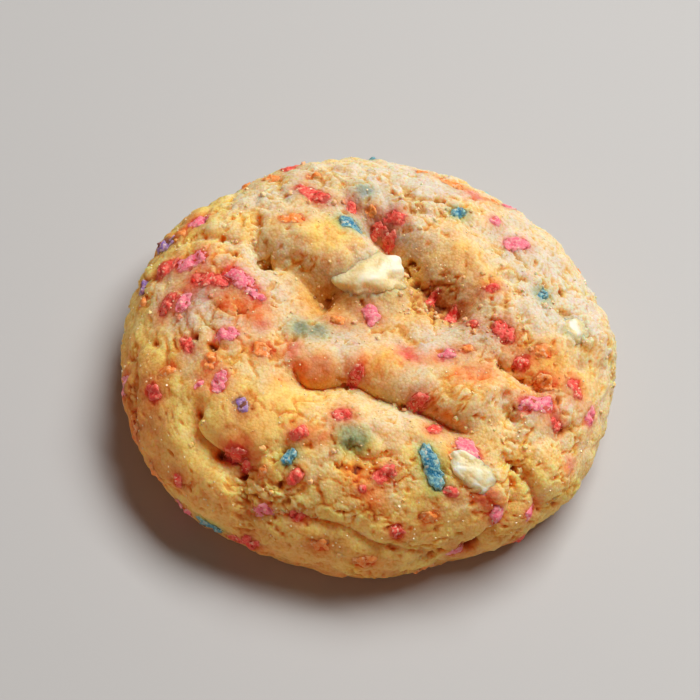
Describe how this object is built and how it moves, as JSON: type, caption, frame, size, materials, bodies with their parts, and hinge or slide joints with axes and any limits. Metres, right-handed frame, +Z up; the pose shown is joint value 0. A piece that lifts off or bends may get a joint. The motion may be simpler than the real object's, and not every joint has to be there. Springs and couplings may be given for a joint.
{
  "type": "sprinkle cookie",
  "caption": "Thick soft baked cookie with folded, cracked dough, coloured sprinkles baked into its skin and white chips showing, on a flat sole.",
  "frame": {"origin": "centre of the cookie's flat sole, on the surface it rests on", "axes": "+Z up out of the cookie's top, +X to the right and +Y away as the picture shows it"},
  "size_m": [0.0769, 0.0713, 0.0227],
  "materials": {
    "cookie": "soft baked dough, pale gold and crumbly, with coloured sprinkles in its skin",
    "white_chip": "white chip, smooth and slightly waxy"
  },
  "bodies": {
    "root": {"cookie": "cookie", "white_chip_middle": "white_chip", "white_chip_front": "white_chip", "white_chip_side": "white_chip"}
  },
  "joints": []
}
